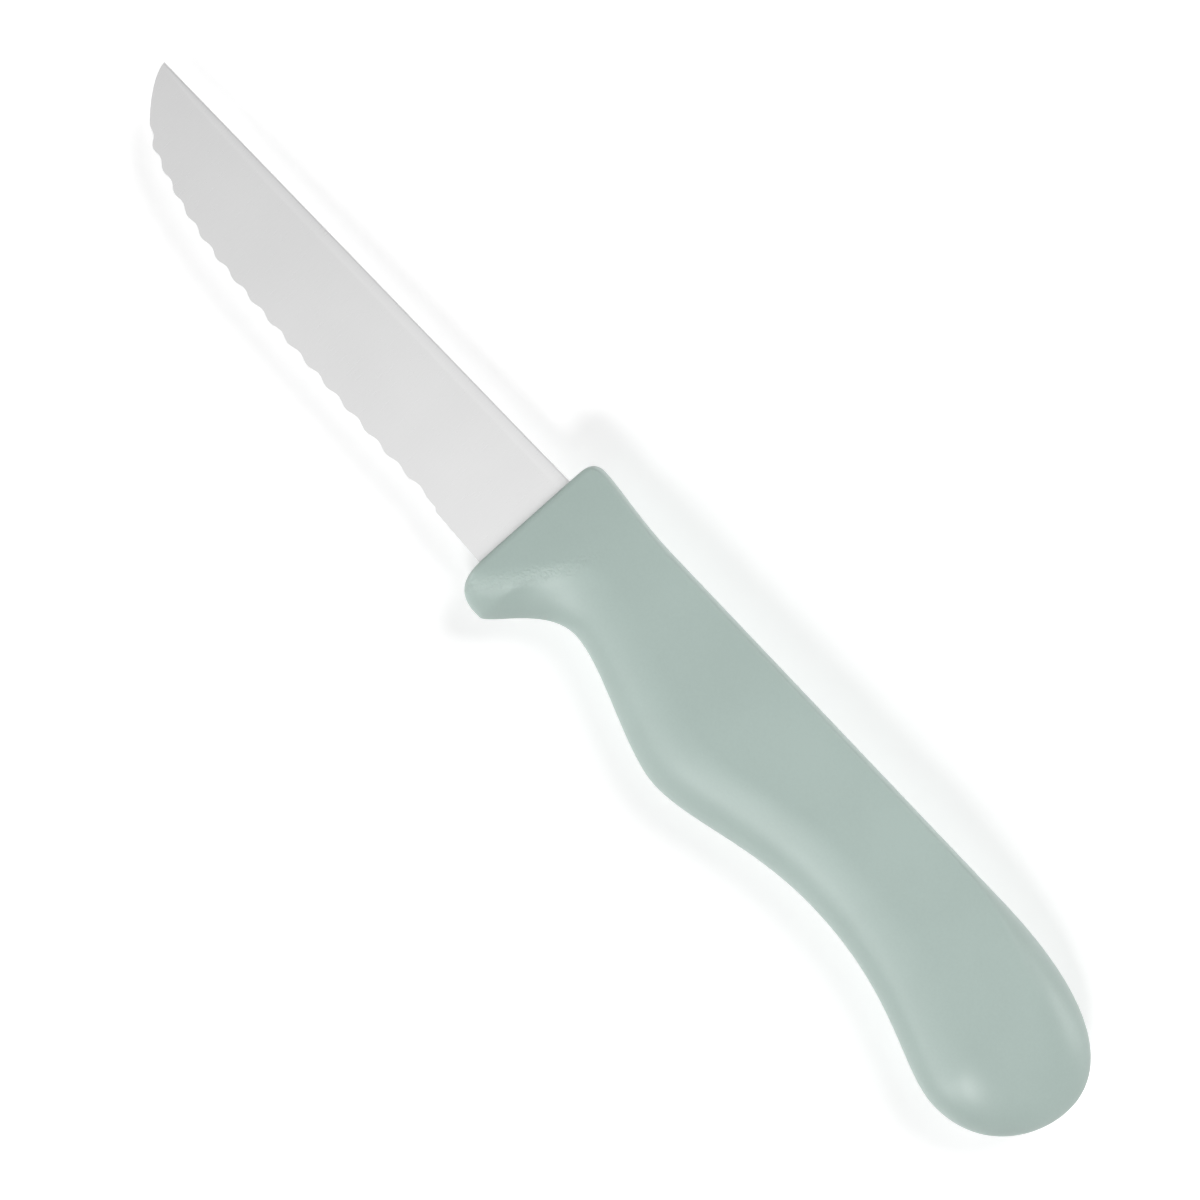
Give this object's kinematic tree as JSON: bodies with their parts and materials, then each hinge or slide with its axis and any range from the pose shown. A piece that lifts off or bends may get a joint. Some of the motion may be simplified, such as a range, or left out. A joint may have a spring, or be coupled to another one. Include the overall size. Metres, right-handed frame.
{
  "type": "steak knife",
  "caption": "Steak knife with a stamped wavy-edged blade and a moulded handle with guard lip, finger choil, belly and butt bulb.",
  "frame": {"origin": "under the middle of the knife's bounding box, on the surface that it lies on", "axes": "+X from the tip to the butt along the spine, +Y from the cutting edge to the back, +Z out of the left side, which shows"},
  "size_m": [0.2096, 0.031, 0.014],
  "materials": {
    "blade_steel": "finely satin-ground stainless steel",
    "handle_plastic": "pale grey-green polypropylene with a fine moulded grain"
  },
  "bodies": {
    "root": {"blade": "blade_steel", "handle": "handle_plastic"}
  },
  "joints": []
}
